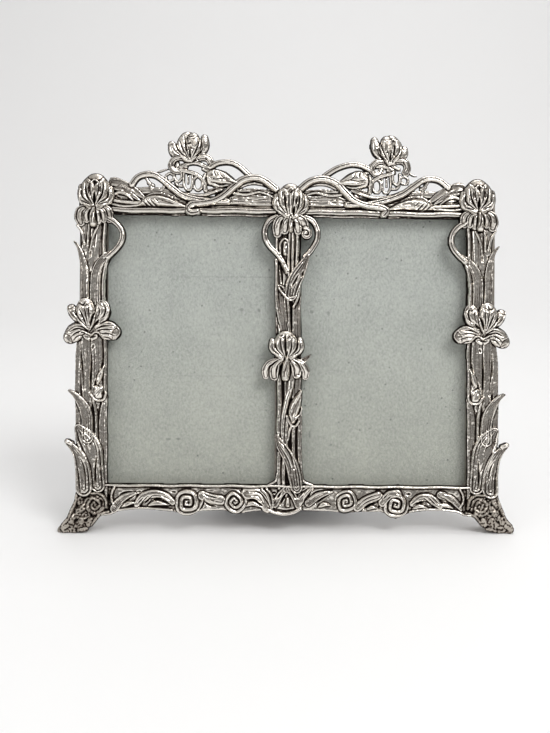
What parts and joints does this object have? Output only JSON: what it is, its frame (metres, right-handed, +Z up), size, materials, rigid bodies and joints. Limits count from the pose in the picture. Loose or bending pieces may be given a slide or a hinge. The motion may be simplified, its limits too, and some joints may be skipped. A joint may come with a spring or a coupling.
{
  "type": "double photo frame",
  "caption": "Free-standing double photo frame: cast metal front with iris relief and openwork cresting, glazed windows, velour back and a hinged easel leg.",
  "frame": {"origin": "on the table, below the middle of the box round the standing frame with its leg open", "axes": "+X to the right as seen from the front, +Y from the front towards the leg, +Z up"},
  "size_m": [0.209, 0.0608, 0.1801],
  "materials": {
    "casting": "antiqued silver plate on a white metal casting",
    "glass": "clear",
    "greyboard": "matt grey recycled board with flecks",
    "velour": "dark blue flocked velour",
    "leg_core": "matt brown board",
    "steel": "bright zinc plate"
  },
  "bodies": {
    "frame": {"top_rail": "casting", "bottom_rail": "casting", "left_stile": "casting", "right_stile": "casting", "mullion": "casting", "left_foot": "casting", "right_foot": "casting", "left_cresting": "casting", "right_cresting": "casting", "left_finial": "casting", "right_finial": "casting", "left_corner_blossom": "casting", "right_corner_blossom": "casting", "crown_blossom": "casting", "left_stile_blossom": "casting", "right_stile_blossom": "casting", "mullion_blossom": "casting", "left_stile_foliage": "casting", "right_stile_foliage": "casting", "mullion_foliage": "casting", "bottom_rail_foliage": "casting", "left_knee_rose": "casting", "right_knee_rose": "casting", "glass": "glass", "backing_board": "greyboard", "backing_velour": "velour", "hinge_board_leaf": "steel", "hinge_pin": "steel", "board_staples": "steel", "turn_button_screws": "steel"},
    "easel_leg": {"leg_board": "leg_core", "leg_velour": "velour", "hinge_leg_leaf": "steel", "leg_staples": "steel"},
    "button_top_left": {"turn_button_top_left": "steel"},
    "button_top_right": {"turn_button_top_right": "steel"},
    "button_bottom_left": {"turn_button_bottom_left": "steel"},
    "button_bottom_right": {"turn_button_bottom_right": "steel"},
    "button_left": {"turn_button_left": "steel"},
    "button_right": {"turn_button_right": "steel"}
  },
  "joints": [
    {"name": "easel_hinge", "type": "hinge", "parent": "frame", "child": "easel_leg", "pos_m": [0, -0.00024, 0.09119], "axis": [1, 0, 0], "range_deg": [-30, 0]},
    {"name": "button_top_left_turn", "type": "hinge", "parent": "frame", "child": "button_top_left", "pos_m": [-0.048, 0.00972, 0.14576], "axis": [0, 0.9781, -0.2079], "continuous": true},
    {"name": "button_top_right_turn", "type": "hinge", "parent": "frame", "child": "button_top_right", "pos_m": [0.048, 0.00972, 0.14576], "axis": [0, 0.9781, -0.2079], "continuous": true},
    {"name": "button_bottom_left_turn", "type": "hinge", "parent": "frame", "child": "button_bottom_left", "pos_m": [-0.048, -0.01847, 0.01312], "axis": [0, 0.9781, -0.2079], "continuous": true},
    {"name": "button_bottom_right_turn", "type": "hinge", "parent": "frame", "child": "button_bottom_right", "pos_m": [0.048, -0.01847, 0.01312], "axis": [0, 0.9781, -0.2079], "continuous": true},
    {"name": "button_left_turn", "type": "hinge", "parent": "frame", "child": "button_left", "pos_m": [-0.0922, -0.00426, 0.07998], "axis": [0, 0.9781, -0.2079], "continuous": true},
    {"name": "button_right_turn", "type": "hinge", "parent": "frame", "child": "button_right", "pos_m": [0.0922, -0.00426, 0.07998], "axis": [0, 0.9781, -0.2079], "continuous": true}
  ]
}
